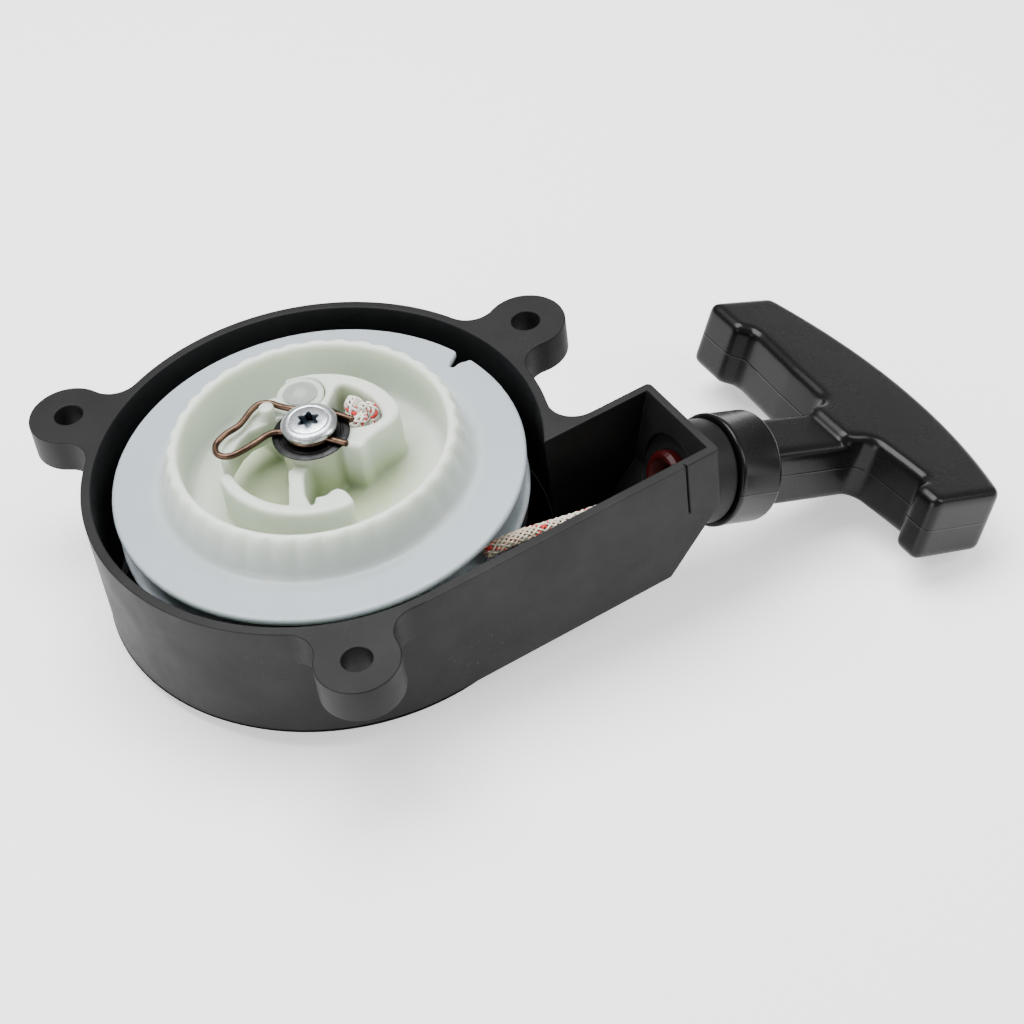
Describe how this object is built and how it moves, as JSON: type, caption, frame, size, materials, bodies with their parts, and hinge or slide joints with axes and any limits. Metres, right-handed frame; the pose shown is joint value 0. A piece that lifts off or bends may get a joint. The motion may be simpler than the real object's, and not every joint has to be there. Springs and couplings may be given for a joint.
{
  "type": "recoil starter",
  "caption": "Recoil starter of a small engine: dished housing with fixing lugs and a rope arm, sprung rope rotor with a pawl and wire clip, and a T grip.",
  "frame": {"origin": "on the rotor's axis, at the housing's flat back", "axes": "+Z along the axle out of the open side that faces the engine, +X along the rope arm towards the grip"},
  "size_m": [0.183, 0.1247, 0.06],
  "materials": {
    "housing_black": "matte",
    "grip_black": "satin",
    "rotor_nylon": "satin",
    "pawl_nylon": "satin",
    "cover_nylon": "matte",
    "zinc_plate": "satin",
    "spring_steel": "satin",
    "washer_dark": "satin",
    "clip_bronze": "satin",
    "eyelet_red": "satin",
    "rope_braid": "matte"
  },
  "bodies": {
    "housing": {"starter_housing": "housing_black", "spring_cover": "cover_nylon", "cover_screw_1": "zinc_plate", "cover_screw_2": "zinc_plate", "cover_screw_3": "zinc_plate", "rewind_spring": "spring_steel", "thrust_washer": "washer_dark", "retaining_washer": "washer_dark", "axle_screw": "zinc_plate", "rope_eyelet": "eyelet_red", "rope_run": "rope_braid"},
    "rotor": {"rope_rotor": "rotor_nylon", "rope_coil": "rope_braid", "rotor_knot": "rope_braid", "pawl_pivot_pin": "pawl_nylon"},
    "pawl": {"pawl": "pawl_nylon"},
    "clip": {"friction_clip": "clip_bronze"},
    "grip": {"grip_body": "grip_black", "grip_washer": "zinc_plate", "grip_knot": "rope_braid", "grip_plug": "grip_black", "rope_tail": "rope_braid"}
  },
  "joints": [
    {"name": "handle_pull", "type": "slide", "parent": "housing", "child": "grip", "axis": [0.9135, 0, -0.4067], "range_m": [0, 0.64], "stiffness_N_per_m": 12, "springref_m": -0.6},
    {"name": "rotor_spin", "type": "hinge", "parent": "housing", "child": "rotor", "pos_m": [0, 0, 0.0247], "axis": [0, 0, 1], "range_deg": [0, 975]},
    {"name": "pawl_swing", "type": "hinge", "parent": "rotor", "child": "pawl", "pos_m": [0.0042, 0.0129, 0.0352], "axis": [0, 0, -1], "range_deg": [0, 20]},
    {"name": "clip_turn", "type": "hinge", "parent": "rotor", "child": "clip", "pos_m": [0, 0, 0.04005], "axis": [0, 0, -1], "range_deg": [0, 40]}
  ],
  "couplings": [
    {"joint": "rotor_spin", "follows": "handle_pull", "rad_per_m": 26.525},
    {"joint": "clip_turn", "follows": "pawl_swing", "ratio": 2}
  ]
}
